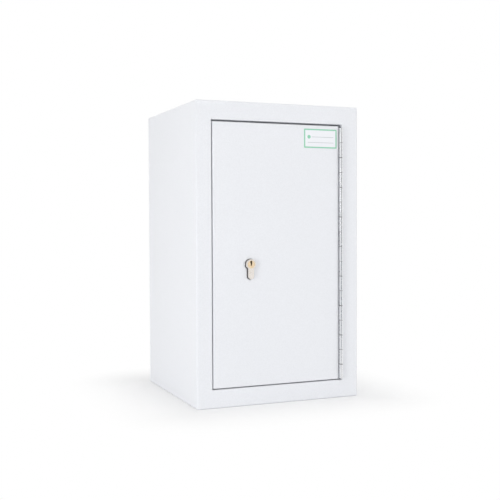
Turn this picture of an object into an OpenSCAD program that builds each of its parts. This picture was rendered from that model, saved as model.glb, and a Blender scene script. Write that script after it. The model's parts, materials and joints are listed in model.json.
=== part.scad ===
// Lockable medicine cabinet: a folded steel body, a flush door on a continuous hinge and a
// half euro-profile cylinder whose cam throws a bolt behind the front frame.
// Millimetres. Origin at the centre of the base, front towards -Y, +X to the viewer's right, +Z up.

/* [Body] */
// Overall width of the steel body
body_w = 295; // [285:1:400]
// Overall depth of the steel body
body_d = 275; // [240:1:400]
// Overall height of the steel body
body_h = 500; // [450:1:800]
// Thickness of the body sheet
sheet_t = 1.5; // [1.2:0.1:2]
// Outer radius of the body's bends
body_bend_r = 3; // [2.5:0.5:5]
// Width of the flange that the body turns in at the rear
rear_flange_w = 20; // [14:1:26]
// Thickness of the back panel
back_t = 1.2; // [1:0.1:2]
// Gap between the back panel's edge and the bends it lies between
back_edge_gap = 0.2; // [0.1:0.1:1]

/* [Wall fixing] */
// Diameter of the wall fixing holes
wall_hole_d = 8.5; // [5:0.5:12]
// Distance between the fixing holes across the back
wall_hole_span_w = 200; // [120:5:220]
// Distance between the fixing holes up the back
wall_hole_span_h = 380; // [200:5:400]

/* [Front frame] */
// Face width of the frame on the lock side
frame_lock_w = 27; // [22:0.1:40]
// Face width of the frame on the hinge side
frame_hinge_w = 30.7; // [24:0.1:45]
// Face width of the frame above the door
frame_top_w = 30.8; // [22:0.1:45]
// Face width of the frame below the door
frame_bottom_w = 30.6; // [22:0.1:45]
// Depth of the returns that line the opening
jamb_d = 18; // [17.5:0.5:20]
// Radius of the frame's edge round the opening
jamb_bend_r = 1.8; // [1:0.1:2.5]
// How far the stop strips stand into the opening
stop_reach = 6; // [3:0.5:6.5]
// Length of a stop strip's leg behind the return
stop_leg = 12; // [8:1:15]
// Diameter of a rubber door buffer
buffer_d = 4.8; // [3:0.2:5.5]
// Gap between a buffer and the closed door
buffer_gap = 0.3; // [0.1:0.1:0.5]
// Distance of the buffers from the ends of the lock-side stop strip
buffer_inset = 40; // [15:1:80]

/* [Door] */
// Thickness of the door sheet
door_t = 1.5; // [1.2:0.1:2]
// Depth of the door from its face to the back of its lips
door_d = 16; // [14:0.5:16.5]
// Outer radius of the door's bends
door_bend_r = 1.8; // [1.5:0.1:2.5]
// Radius of the door's four corners seen from the front
door_corner_r = 1; // [0.5:0.1:2]
// Width of the lips behind the door
door_lip_w = 10; // [6:0.5:12]
// Gap beside the door on the lock side
door_gap_lock = 1.7; // [1.2:0.1:4]
// Gap above the door
door_gap_top = 2.9; // [1.5:0.1:5]
// Gap below the door
door_gap_bottom = 1.7; // [1.2:0.1:5]
// Width across the door stiffener, without its feet
stiffener_w = 50; // [30:1:60]
// Height of the door stiffener off the door sheet
stiffener_h = 11; // [6:0.5:12]
// Distance of the stiffener's centre from the hinge edge of the door
stiffener_inset = 68; // [50:1:80]
// Clearance of the stiffener from the lips above and below
stiffener_end_gap = 6; // [2:1:40]
// Width of the spot-welded feet of the stiffener and of the lock bracket
foot_w = 12; // [8:0.5:14]
// Thickness of the stiffener and of the lock bracket
bracket_t = 1.5; // [1:0.1:2]

/* [Continuous hinge] */
// Outer diameter of the knuckles, which fills the gap beside the door
knuckle_od = 6; // [5.4:0.1:7]
// Length from one knuckle to the next
knuckle_pitch = 25.3; // [15:0.1:40]
// Play between neighbouring knuckles
knuckle_gap = 0.8; // [0.6:0.1:1]
// How far the door's knuckles have settled on the frame's
knuckle_settle = 0.25; // [0:0.05:0.25]
// Distance of the hinge axis in front of the door's face
hinge_proud = 3.3; // [3.1:0.1:4.5]
// Thickness of the hinge leaves
leaf_t = 1.4; // [1:0.1:1.6]
// Depth of the leaves behind the door's face
leaf_d = 14; // [10:0.5:15]
// Diameter of the hinge pin
pin_d = 2.6; // [2:0.1:2.8]
// Radial clearance of the pin in the knuckles
pin_clearance = 0.05; // [0.02:0.01:0.1]
// Distance of the pin's ends inside the ends of the hinge
pin_end_gap = 0.4; // [0.2:0.1:1]
// Radial clearance of a leaf round the other leaf's knuckles
leaf_clearance = 0.4; // [0.3:0.05:0.6]
// Distance from the ends of the door to the ends of the hinge
hinge_end_gap = 1; // [0.5:0.1:5]
// Diameter of the hinge rivets
rivet_d = 3; // [2.4:0.1:4]
// Diameter of the rivets' heads
rivet_head_d = 5.4; // [4.5:0.1:6.5]
// Height of the rivets' heads
rivet_head_h = 0.8; // [0.5:0.1:1]
// Distance between rivets along the hinge
rivet_pitch = 82; // [50:1:120]
// Depth of the rivets behind the door's face
rivet_depth = 8; // [6:0.5:9]
// Radial clearance of a rivet or screw in a plain hole
fastener_clearance = 0.05; // [0.02:0.01:0.2]

/* [Lock cylinder] */
// Distance from the door's edge to the cylinder's axis
lock_backset = 64.8; // [55:0.1:80]
// Height of the cylinder's axis above the door's lower edge
lock_height = 201.7; // [120:0.1:260]
// How far the cylinder stands proud of the door
cylinder_proud = 5; // [2:0.5:6]
// Length of the cylinder from its face to its fixing screw
cylinder_front_len = 30; // [29:0.5:31]
// Length of the cylinder behind its fixing screw
cylinder_rear_len = 10; // [9:0.5:12]
// Diameter of the round head of the euro profile
profile_head_d = 17; // [17:0.1:17.6]
// Width of the stem of the euro profile
profile_stem_w = 10; // [9.6:0.1:10.4]
// Height of the euro profile
profile_h = 33; // [32:0.1:34]
// Clearance round the profile where it passes through sheet
profile_clearance = 0.35; // [0.2:0.05:0.6]
// Clearance all round the lock cylinder in the door's hole
door_hole_clearance = 0.9; // [0.4:0.1:1.5]
// Diameter of the plug
plug_d = 13; // [12:0.1:13.6]
// Diameter of the plug's neck, which carries the cam
neck_d = 9; // [7:0.1:9.5]
// Radial clearance of the plug in the cylinder
plug_clearance = 0.05; // [0.02:0.01:0.1]
// Width of the wide upper part of the keyway
keyway_w = 3.1; // [3.1:0.1:3.6]
// Height of the wide upper part of the keyway
keyway_head_h = 4; // [2:0.5:5]
// Width of the keyway's warded stem
keyway_stem_w = 1.9; // [1.4:0.1:2]
// Sideways step of the ward in the stem
keyway_ward = 0.4; // [0.2:0.1:0.5]
// Reach of the keyway below the plug's centre
keyway_low = 2.2; // [1.5:0.1:5]
// Wall of the plug left above the keyway
keyway_rim = 0.6; // [0.4:0.1:1]
// Depth of the keyway into the plug
keyway_depth = 22; // [10:1:24]
// Radius of the cam's lever
cam_r = 15; // [14.5:0.1:15.4]
// Width of the cam's lever
cam_lever_w = 8; // [6:0.1:8.6]
// Thickness of the cam along the cylinder
cam_t = 9.6; // [8:0.1:10]
// Room for the cam on each side of it
cam_gap = 0.3; // [0.3:0.05:0.6]
// Diameter of the cylinder's fixing screw
fixing_screw_d = 5; // [4:0.1:5.2]
// Distance of the fixing screw below the cylinder's axis
fixing_screw_drop = 19.5; // [19:0.1:20.5]
// Thickness of the ring that keeps the cam on the neck
ring_t = 0.8; // [0.6:0.1:1]
// Width of the ring across its section
ring_w = 1.6; // [1.2:0.1:2]
// Width of the retaining ring's mouth
ring_mouth = 2.4; // [2:0.1:3]
// Depth of the ring's groove in the neck
ring_groove = 0.5; // [0.3:0.1:0.8]
// Gap between the cylinder's rear end and the ring
ring_gap = 0.1; // [0.05:0.05:0.3]
// Length of the neck beyond the ring
neck_end = 1.2; // [0.8:0.1:1.6]

/* [Lock case] */
// Depth of the lock case with its cover
case_d = 16; // [14.5:0.5:17]
// Thickness of the lock case's sheet and cover
case_t = 1.5; // [1.2:0.1:2]
// Radius of the lock case's corners
case_corner_r = 1.5; // [1:0.1:2]
// Gap between the lock's bracket and the door's lip
bracket_gap = 1.5; // [1:0.1:3]
// Thickness of the lock case's forend
forend_t = 2.5; // [2:0.1:4]
// Distance from the door's edge to the forend
case_inset = 7.3; // [6.5:0.1:9]
// Height of the lock case above the cylinder's axis
case_above = 38; // [37.5:0.5:45]
// Depth of the lock case below the cylinder's axis
case_below = 31; // [31:0.5:40]
// Length of the lock case beyond the cylinder's axis
case_beyond = 31; // [30:0.5:40]
// Distance that the bolt is thrown
bolt_throw = 18.5; // [16:0.1:18.6]
// Height of the bolt
bolt_h = 20; // [18:0.5:20]
// Thickness of the bolt's head
bolt_head_t = 9; // [7:0.1:9.4]
// Length of the bolt's head
bolt_head_len = 24; // [20:0.5:25]
// Thickness of the bolt's tail
bolt_tail_t = 5; // [3:0.1:5.5]
// Height of the bolt's lower edge above the cylinder's axis
bolt_rise = 9.2; // [9.1:0.1:9.3]
// Clearance round the bolt in its window and slot
bolt_clearance = 0.3; // [0.2:0.05:0.5]
// Side clearance of the cam in the bolt's notch
notch_clearance = 1.4; // [1:0.1:1.6]
// Gap between the cam's end and the top of the notch
notch_head_gap = 0.8; // [0.4:0.1:1.2]
// How far the notch's mouth flares out to each side and upwards
notch_mouth = 1.6; // [1:0.1:2]
// Width of the bolt beyond its notch
bolt_tail_wall = 7; // [5:0.5:8]
// Diameter of the guide post in the bolt's slot
guide_post_d = 6; // [4:0.1:6.5]
// Distance of the guide post from the cylinder's axis, towards the bolt's head
guide_post_offset = 12; // [8:0.5:13]
// Thickness of the leaf spring on the bolt
spring_t = 0.5; // [0.4:0.1:0.8]
// Width of the leaf spring
spring_w = 4; // [3:0.1:5]
// Length of the leaf spring
spring_len = 56; // [40:1:60]
// Gap between the spring and what it bears on
spring_seat_gap = 0.1; // [0.05:0.05:0.3]
// Diameter of the case screws
case_screw_d = 3; // [2.5:0.1:3.5]
// Diameter of the case screws' heads
case_screw_head_d = 6; // [5:0.1:7]
// Height of the case screws' heads
case_screw_head_h = 1.8; // [1.2:0.1:2.5]
// Diameter of the pillars round the case screws
pillar_d = 6.5; // [6.4:0.1:6.8]
// Distance of the pillars' axes from the inside of the case
pillar_inset = 3; // [2.6:0.1:3.1]

/* [Shelves] */
// Thickness of the shelves
shelf_t = 1.2; // [0.8:0.1:2]
// Height of the turned-down shelf edges
shelf_edge_h = 16; // [10:1:25]
// Width of the safe hem at the foot of each shelf edge
shelf_hem_w = 7; // [4:0.5:10]
// Distance from the body's front to the shelves
shelf_front_inset = 50; // [45:1:80]
// Distance from the back panel to the shelves
shelf_back_gap = 5; // [3:1:20]
// Gap between a shelf and the clips' plates
shelf_side_gap = 0.8; // [0.4:0.1:2]
// Gap under a shelf where it rests on its clips
shelf_seat_gap = 0.1; // [0.05:0.05:0.3]
// Slot that the lower shelf's clips hang in, counted from the bottom
lower_slot = 5; // [3:1:7]
// Slot that the upper shelf's clips hang in, counted from the bottom
upper_slot = 11; // [9:1:13]
// Width of a shelf rail
rail_w = 20; // [16:1:30]
// Height of a shelf rail off the wall
rail_h = 6; // [5.5:0.5:8]
// Thickness of a shelf rail
rail_t = 1.2; // [1:0.1:1.5]
// Distance of a rail's ends from the body's outer faces
rail_end_gap = 36; // [25:1:60]
// Distance from the body's front to the middle of the front rails
rail_front_inset = 80; // [65:1:100]
// Distance from the body's rear to the middle of the rear rails
rail_rear_inset = 45; // [30:1:60]
// Distance between the slots of a rail
slot_pitch = 25; // [20:1:32]
// Height of a slot
slot_h = 9; // [8:0.5:12]
// Width of a slot
slot_w = 3; // [2.4:0.1:4]
// Clearance of a clip's hook in its slot
hook_clearance = 0.2; // [0.1:0.05:0.3]
// Thickness of a shelf clip
clip_t = 1.5; // [1.2:0.1:2]
// Width of a shelf clip
clip_w = 12; // [8:1:16]
// Height of a shelf clip
clip_h = 24; // [18:1:24]
// Reach of a clip's ledge under the shelf
clip_reach = 10; // [6:0.5:14]

/* [Hidden] */
$fn = 64;

paint = [0.93, 0.935, 0.95];
zinc = [0.74, 0.76, 0.78];
nickel = [0.80, 0.79, 0.76];
brass = [0.83, 0.66, 0.34];
steel = [0.55, 0.56, 0.58];
rubber = [0.12, 0.12, 0.12];

front_y = -body_d / 2;
rear_y = body_d / 2;
wall_x = body_w / 2 - sheet_t;

// The opening, the door and the hinge in the plane of the front.
open_x0 = -body_w / 2 + frame_lock_w;
open_x1 = body_w / 2 - frame_hinge_w;
open_z0 = frame_bottom_w;
open_z1 = body_h - frame_top_w;
door_x0 = open_x0 + door_gap_lock;
door_x1 = open_x1 - knuckle_od;
door_z0 = open_z0 + door_gap_bottom;
door_z1 = open_z1 - door_gap_top;
jamb_y = front_y + jamb_d;
door_back_y = front_y + door_d;

hinge_x = open_x1 - knuckle_od / 2;
hinge_y = front_y - hinge_proud;
knuckles_that_fit = floor((door_z1 - door_z0 - 2 * hinge_end_gap) / knuckle_pitch);
knuckle_count = knuckles_that_fit - 1 + knuckles_that_fit % 2;
hinge_z0 = door_z0 + hinge_end_gap;
hinge_len = knuckle_count * knuckle_pitch;
leaf_front_y = hinge_y
    + sqrt(pow(knuckle_od / 2 + leaf_clearance, 2) - pow(knuckle_od / 2 - leaf_t, 2));
leaf_back_y = front_y + leaf_d;
rivet_y = front_y + rivet_depth;
rivet_count = floor((hinge_len - rivet_pitch / 2) / rivet_pitch) + 1;
rivet_z0 = hinge_z0 + (hinge_len - (rivet_count - 1) * rivet_pitch) / 2;

// The lock.
lock_x = door_x0 + lock_backset;
lock_z = door_z0 + lock_height;
cylinder_y0 = front_y - cylinder_proud;
cam_y = cylinder_y0 + cylinder_front_len;
cylinder_y1 = cam_y + cylinder_rear_len;
cam_y0 = cam_y - cam_t / 2;
cam_y1 = cam_y + cam_t / 2;
stem_drop = profile_h - profile_head_d / 2 - profile_stem_w / 2;
case_y0 = cam_y - case_d / 2;
case_y1 = cam_y + case_d / 2;
cover_y = case_y1 - case_t;
case_x0 = door_x0 + case_inset;
case_x1 = lock_x + case_beyond;
case_z0 = lock_z - case_below;
case_z1 = lock_z + case_above;
case_roof_z = case_z1 - case_t;
bracket_x0 = door_x0 + door_lip_w + bracket_gap;
bolt_z0 = lock_z + bolt_rise;
bolt_z1 = bolt_z0 + bolt_h;
notch_x = lock_x + bolt_throw / 2;
notch_half_w = cam_lever_w / 2 + notch_clearance;
notch_top_z = lock_z + cam_r + notch_head_gap;
bolt_tail_x = notch_x + notch_half_w + bolt_tail_wall;
guide_x = lock_x - guide_post_offset;
guide_z = (notch_top_z + bolt_z1) / 2;
cam_sweep = 90;

// The shelves.
rail_face_x = wall_x - rail_h;
back_y = rear_y - sheet_t - back_t;
rail_y_front = front_y + rail_front_inset;
rail_y_rear = rear_y - rail_rear_inset;
rail_z0 = rail_end_gap;
rail_z1 = body_h - rail_end_gap;
slot_count = floor((rail_z1 - rail_z0 - slot_h) / slot_pitch);
slot_z0 = rail_z0 + slot_pitch / 2;
shelf_x = rail_face_x - clip_t - shelf_side_gap;
shelf_y0 = front_y + shelf_front_inset;
shelf_y1 = back_y - shelf_back_gap;
ledge_rise = slot_h / 2 + hook_clearance;

function slot_z(k) = slot_z0 + k * slot_pitch;
function ledge_z(k) = slot_z(k) + ledge_rise;

// A sheet folded along a path of 2D points, with its thickness to the left of the path.
function unit(v) = v / norm(v);
function left_of(v) = [-v.y, v.x];
function folded(path, t) =
    let (last = len(path) - 1,
        normals = [for (i = [0:last - 1]) left_of(unit(path[i + 1] - path[i]))],
        mitres = [for (i = [0:last])
            i == 0 ? normals[0] :
            i == last ? normals[last - 1] :
            (normals[i - 1] + normals[i]) / (1 + normals[i - 1] * normals[i])])
    concat(path, [for (i = [last:-1:0]) path[i] + t * mitres[i]]);

// A block from its lowest corner to its highest.
module block(low, high) {
    translate(low) cube(high - low);
}

// A 2D shape in the XZ plane, carried along Y.
module along_y(y0, y1) {
    translate([0, y1, 0]) rotate([90, 0, 0]) linear_extrude(y1 - y0) children();
}

// A 2D shape in the YZ plane, carried along X.
module along_x(x0, x1) {
    translate([x0, 0, 0]) rotate([90, 0, 90]) linear_extrude(x1 - x0) children();
}

// A 2D shape in the XY plane, carried along Z.
module along_z(z0, z1) {
    translate([0, 0, z0]) linear_extrude(z1 - z0) children();
}

module rounded_rectangle(low, high, r) {
    translate([low.x, low.y + r]) square([high.x - low.x, high.y - low.y - 2 * r]);
    translate([low.x + r, low.y]) square([high.x - low.x - 2 * r, high.y - low.y]);
    for (x = [low.x + r, high.x - r], y = [low.y + r, high.y - r])
        translate([x, y]) circle(r);
}

// A block whose edges along X, Y and Z are rounded with the three radii of r.
module soft_block(low, high, r) {
    intersection() {
        along_x(low.x, high.x)
            rounded_rectangle([low.y, low.z], [high.y, high.z], r.x);
        along_y(low.y, high.y)
            rounded_rectangle([low.x, low.z], [high.x, high.z], r.y);
        along_z(low.z, high.z)
            rounded_rectangle([low.x, low.y], [high.x, high.y], r.z);
    }
}

// What a bend of radius r leaves off a square corner at the origin, towards +X and +Y.
module corner_waste(r) {
    difference() {
        translate([-1, -1]) square(r + 1);
        translate([r, r]) circle(r);
        translate([r, -2]) square([1, 2 * r + 2]);
        translate([-2, r]) square([2 * r + 2, 1]);
    }
}

// The body wraps round the sides, top and bottom, turns in at the front as the frame,
// returns as the jamb and turns in at the rear as a flange.
module carcass() {
    inner_r = body_bend_r - sheet_t;
    color(paint) difference() {
        union() {
            difference() {
                soft_block([-body_w / 2, front_y, 0], [body_w / 2, rear_y, body_h],
                    [body_bend_r, body_bend_r, body_bend_r]);
                soft_block([-wall_x, front_y + sheet_t, sheet_t],
                    [wall_x, rear_y - sheet_t, body_h - sheet_t], [inner_r, inner_r, inner_r]);
                block([-body_w / 2 + rear_flange_w, rear_y - 2 * sheet_t, rear_flange_w],
                    [body_w / 2 - rear_flange_w, rear_y + 1, body_h - rear_flange_w]);
            }
            block([open_x0 - sheet_t, front_y + sheet_t / 2, open_z0 - sheet_t],
                [open_x1 + sheet_t, jamb_y, open_z1 + sheet_t]);
        }
        block([open_x0, front_y - 1, open_z0], [open_x1, jamb_y + 1, open_z1]);
        jamb_bends();
        rivet_holes(open_x1 - 1, open_x1 + sheet_t + 1);
    }
}

// The rounded edge of the frame round the opening.
module jamb_bends() {
    along_z(open_z0, open_z1) {
        translate([open_x0, front_y]) mirror([1, 0]) corner_waste(jamb_bend_r);
        translate([open_x1, front_y]) corner_waste(jamb_bend_r);
    }
    along_x(open_x0, open_x1) {
        translate([front_y, open_z0]) mirror([0, 1]) corner_waste(jamb_bend_r);
        translate([front_y, open_z1]) corner_waste(jamb_bend_r);
    }
}

module back_panel() {
    edge = body_bend_r + back_edge_gap;
    color(paint) difference() {
        block([-body_w / 2 + edge, back_y, edge],
            [body_w / 2 - edge, back_y + back_t, body_h - edge]);
        for (x = [-1, 1], z = [-1, 1])
            translate([x * wall_hole_span_w / 2, back_y - 1, body_h / 2 + z * wall_hole_span_h / 2])
                rotate([-90, 0, 0]) cylinder(d = wall_hole_d, h = back_t + 2);
    }
}

// An angle strip behind a return: one leg lies on its hidden face, the other stands into the opening.
module stop_profile() {
    polygon(folded([[-sheet_t, -stop_leg], [-sheet_t, 0], [stop_reach, 0]], sheet_t));
}

module stop_strip_lock_side() {
    color(paint) along_z(open_z0 + stop_reach, open_z1 - stop_reach)
        translate([open_x0, jamb_y]) stop_profile();
}

module stop_strip_top() {
    color(paint) along_x(open_x0, open_x1)
        translate([jamb_y, open_z1]) rotate(-90) stop_profile();
}

module stop_strip_bottom() {
    color(paint) along_x(open_x0, open_x1)
        translate([jamb_y, open_z0]) rotate(90) mirror([0, 1]) stop_profile();
}

module door_buffers() {
    reach = stop_reach + buffer_inset;
    color(rubber) for (z = [open_z0 + reach, open_z1 - reach])
        translate([open_x0 + stop_reach / 2, door_back_y + buffer_gap, z])
            rotate([-90, 0, 0]) cylinder(d = buffer_d, h = jamb_d - door_d - buffer_gap);
}

// What belongs to the left wall, or its mirror image on the right wall.
module on_wall(side) {
    if (side > 0) mirror([1, 0, 0]) children();
    else children();
}

// A slotted channel with its legs on the wall.
module shelf_rail(side, y) {
    half = rail_w / 2;
    color(paint) on_wall(side) difference() {
        along_z(rail_z0, rail_z1) translate([-wall_x, y])
            polygon(folded([[0, -half], [rail_h, -half], [rail_h, half], [0, half]], rail_t));
        for (k = [0:slot_count - 1])
            block([-rail_face_x - rail_t - 1, y - slot_w / 2, slot_z(k) - slot_h / 2],
                [-rail_face_x + 1, y + slot_w / 2, slot_z(k) + slot_h / 2]);
    }
}

// An angle whose ledge carries the shelf and whose hook drops behind the slot's lower edge.
module shelf_clip(y, k) {
    tongue_w = slot_w - 2 * hook_clearance;
    hook_x = -rail_t - hook_clearance;
    slot_foot = -ledge_rise - slot_h / 2;
    translate([-rail_face_x, y, ledge_z(k)]) {
        along_y(-clip_w / 2, clip_w / 2)
            polygon(folded([[clip_reach, 0], [0, 0], [0, -clip_h]], clip_t));
        along_y(-tongue_w / 2, tongue_w / 2)
            polygon(folded([[clip_t / 2, slot_foot + clip_t], [hook_x - clip_t, slot_foot + clip_t],
                [hook_x - clip_t, slot_foot - 2 * clip_t]], clip_t));
    }
}

module shelf_clips(k) {
    color(zinc) for (side = [-1, 1], y = [rail_y_front, rail_y_rear])
        on_wall(side) shelf_clip(y, k);
}

// A tray turned down and hemmed along its front and rear edges.
module shelf(k) {
    top = ledge_z(k) + shelf_seat_gap + shelf_t;
    foot = top - shelf_edge_h;
    color(paint) along_x(-shelf_x, shelf_x)
        polygon(folded([[shelf_y1 - shelf_hem_w, foot], [shelf_y1, foot], [shelf_y1, top],
            [shelf_y0, top], [shelf_y0, foot], [shelf_y0 + shelf_hem_w, foot]], shelf_t));
}

// One knuckle's section: the leaf's plate runs tangent into the barrel round the pin.
module knuckle_profile(plate_x) {
    difference() {
        union() {
            translate([hinge_x, hinge_y]) circle(d = knuckle_od);
            translate([plate_x, hinge_y]) square([leaf_t, leaf_back_y - hinge_y]);
        }
        translate([hinge_x, hinge_y]) circle(r = pin_d / 2 + pin_clearance);
    }
}

// A leaf with every second knuckle, from the given first one, let down by settle.
module hinge_leaf(plate_x, first, settle) {
    difference() {
        union() {
            for (i = [first:2:knuckle_count - 1]) {
                z = hinge_z0 + i * knuckle_pitch - settle;
                along_z(z + knuckle_gap / 2, z + knuckle_pitch - knuckle_gap / 2)
                    knuckle_profile(plate_x);
            }
            along_z(hinge_z0, hinge_z0 + hinge_len)
                translate([plate_x, leaf_front_y]) square([leaf_t, leaf_back_y - leaf_front_y]);
        }
        rivet_holes(plate_x - 1, plate_x + leaf_t + 1);
    }
}

module rivet_holes(x0, x1) {
    for (i = [0:rivet_count - 1])
        translate([x0, rivet_y, rivet_z0 + i * rivet_pitch]) rotate([0, 90, 0])
            cylinder(d = rivet_d + 2 * fastener_clearance, h = x1 - x0);
}

// A row of rivets along X: low domed heads at x, shanks through the grip, then the tails.
module hinge_rivets(x, toward, grip) {
    crown_d = rivet_head_d * 0.6;
    for (i = [0:rivet_count - 1])
        translate([x, rivet_y, rivet_z0 + i * rivet_pitch]) rotate([0, toward * 90, 0]) {
            translate([0, 0, -rivet_head_h])
                cylinder(d1 = crown_d, d2 = rivet_head_d, h = rivet_head_h);
            cylinder(d = rivet_d, h = grip);
            translate([0, 0, grip])
                cylinder(d1 = rivet_head_d, d2 = crown_d, h = rivet_head_h);
        }
}

module hinge_leaf_frame() {
    color(zinc) hinge_leaf(open_x1 - leaf_t, 1, 0);
}

module hinge_rivets_frame() {
    color(zinc) hinge_rivets(open_x1 - leaf_t, 1, leaf_t + sheet_t);
}

module hinge_leaf_door() {
    color(zinc) hinge_leaf(door_x1, 0, knuckle_settle);
}

module hinge_rivets_door() {
    color(zinc) hinge_rivets(door_x1 + leaf_t, -1, leaf_t + door_t);
}

module hinge_pin() {
    color(zinc) translate([hinge_x, hinge_y, hinge_z0 + pin_end_gap])
        cylinder(d = pin_d, h = hinge_len - 2 * pin_end_gap);
}

// The euro profile: a round head over a round-ended stem, with its origin on the plug's axis.
module euro_profile(clearance) {
    stem_w = profile_stem_w + 2 * clearance;
    circle(d = profile_head_d + 2 * clearance);
    translate([-stem_w / 2, -stem_drop]) square([stem_w, stem_drop]);
    translate([0, -stem_drop]) circle(d = stem_w);
}

module euro_hole(y0, y1, clearance = profile_clearance) {
    translate([lock_x, 0, lock_z]) along_y(y0, y1) euro_profile(clearance);
}

// A pan with returns on all four sides and lips behind them.
module door_pan() {
    low = [door_x0, front_y, door_z0];
    high = [door_x1, door_back_y, door_z1];
    wall = [door_t, door_t, door_t];
    mouth = [door_lip_w, door_d - door_t - 1, door_lip_w];
    color(paint) difference() {
        soft_block(low, high, [door_bend_r, door_corner_r, door_bend_r]);
        block(low + wall, high - wall);
        block(low + mouth, high + [-door_lip_w, 1, -door_lip_w]);
        euro_hole(front_y - 1, front_y + door_t + 1, door_hole_clearance);
        rivet_holes(door_x1 - door_t - 1, door_x1 + 1);
    }
}

// A top-hat section with its feet on the line y = 0.
module hat_profile(w, h, t) {
    rise = h - t;
    polygon(folded([[-w / 2 - foot_w, 0], [-w / 2, 0], [-w / 2, rise],
        [w / 2, rise], [w / 2, 0], [w / 2 + foot_w, 0]], t));
}

module door_stiffener() {
    end = door_lip_w + stiffener_end_gap;
    color(paint) along_z(door_z0 + end, door_z1 - end)
        translate([door_x1 - stiffener_inset, front_y + door_t])
            hat_profile(stiffener_w, stiffener_h, bracket_t);
}

// A hat section that carries the lock case at the depth of the cylinder's cam.
module lock_bracket() {
    h = case_y0 - front_y - door_t;
    color(zinc) difference() {
        along_x(bracket_x0, case_x1)
            translate([front_y + door_t, (case_z0 + case_z1) / 2])
                rotate(90) mirror([0, 1]) hat_profile(case_z1 - case_z0, h, bracket_t);
        euro_hole(case_y0 - bracket_t - 1, case_y0 + 1);
        case_screw_holes(case_y0 - bracket_t - 1, case_y0 + 1);
    }
}

// Every corner of the case that a screw passes through.
module at_case_corners() {
    for (x = [case_x0 + forend_t + pillar_inset, case_x1 - case_t - pillar_inset],
            z = [case_z0 + case_t + pillar_inset, case_roof_z - pillar_inset])
        translate([x, 0, z]) children();
}

module case_screw_holes(y0, y1) {
    at_case_corners() along_y(y0, y1) circle(d = case_screw_d + 2 * fastener_clearance);
}

module case_outline() {
    rounded_rectangle([case_x0, case_z0], [case_x1, case_z1], case_corner_r);
}

module lock_case() {
    window = [forend_t + 1, bolt_head_t + 2 * bolt_clearance, bolt_h + 2 * bolt_clearance];
    color(zinc) difference() {
        union() {
            difference() {
                along_y(case_y0, cover_y) case_outline();
                block([case_x0 + forend_t, case_y0 + case_t, case_z0 + case_t],
                    [case_x1 - case_t, cover_y + 1, case_roof_z]);
            }
            at_case_corners() along_y(case_y0 + case_t / 2, cover_y) circle(d = pillar_d);
            translate([guide_x, 0, guide_z]) along_y(case_y0 + case_t / 2, cover_y)
                circle(d = guide_post_d);
        }
        translate([case_x0 - 1, cam_y - window.y / 2, bolt_z0 - bolt_clearance]) cube(window);
        euro_hole(case_y0 - 1, case_y0 + case_t + 1);
        case_screw_holes(case_y0 - 1, cover_y + 1);
        translate([case_x0, cam_y, lock_z - fixing_screw_drop]) rotate([0, 90, 0])
            fixing_screw_body(fastener_clearance, forend_t + 1);
    }
}

module lock_cover() {
    color(zinc) difference() {
        along_y(cover_y, case_y1) case_outline();
        euro_hole(cover_y - 1, case_y1 + 1);
        case_screw_holes(cover_y - 1, case_y1 + 1);
    }
}

// A cross recess for a driver, sunk from the plane z = 0 towards +Z.
module cross_recess(d, depth) {
    for (turn = [0, 90])
        rotate(turn) translate([-d / 2, -d / 10, -1]) cube([d, d / 5, depth + 1]);
}

module lock_case_screws() {
    len = case_d + bracket_t + 1;
    color(steel) at_case_corners() translate([0, case_y1, 0]) rotate([-90, 0, 0]) {
        translate([0, 0, -len]) cylinder(d = case_screw_d, h = len);
        difference() {
            cylinder(d1 = case_screw_head_d, d2 = case_screw_head_d * 0.7, h = case_screw_head_h);
            translate([0, 0, case_screw_head_h]) mirror([0, 0, 1])
                cross_recess(case_screw_head_d * 0.55, case_screw_head_h * 0.6);
        }
    }
}

// A bowed strip between the roof of the case and the bolt's upper edge.
module bolt_spring() {
    crest_z = bolt_z1 + spring_seat_gap;
    top_z = case_roof_z - spring_seat_gap;
    bow = top_z - crest_z;
    outer_r = (pow(spring_len / 2, 2) + pow(bow, 2)) / (2 * bow);
    color(steel) along_y(cam_y - spring_w / 2, cam_y + spring_w / 2) intersection() {
        translate([guide_x, crest_z + outer_r]) difference() {
            circle(r = outer_r);
            circle(r = outer_r - spring_t);
        }
        translate([guide_x - spring_len / 2, crest_z - 1]) square([spring_len, bow + 1]);
    }
}

// The bolt's side: a bar with a notch for the cam in its lower edge and a slot for the guide post.
module bolt_profile() {
    slot_r = guide_post_d / 2 + bolt_clearance;
    mouth_w = notch_half_w + notch_mouth;
    difference() {
        translate([case_x0, bolt_z0]) square([bolt_tail_x - case_x0, bolt_h]);
        translate([notch_x, bolt_z0])
            polygon([[-mouth_w - 1, -1], [-notch_half_w, notch_mouth],
                [-notch_half_w, notch_top_z - bolt_z0], [notch_half_w, notch_top_z - bolt_z0],
                [notch_half_w, notch_mouth], [mouth_w + 1, -1]]);
        translate([guide_x, guide_z]) {
            circle(r = slot_r);
            translate([0, -slot_r]) square([bolt_throw, 2 * slot_r]);
            translate([bolt_throw, 0]) circle(r = slot_r);
        }
    }
}

module lock_bolt() {
    color(steel) {
        along_y(cam_y - bolt_tail_t / 2, cam_y + bolt_tail_t / 2) bolt_profile();
        block([case_x0, cam_y - bolt_head_t / 2, bolt_z0],
            [case_x0 + bolt_head_len, cam_y + bolt_head_t / 2, bolt_z1]);
    }
}

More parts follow.
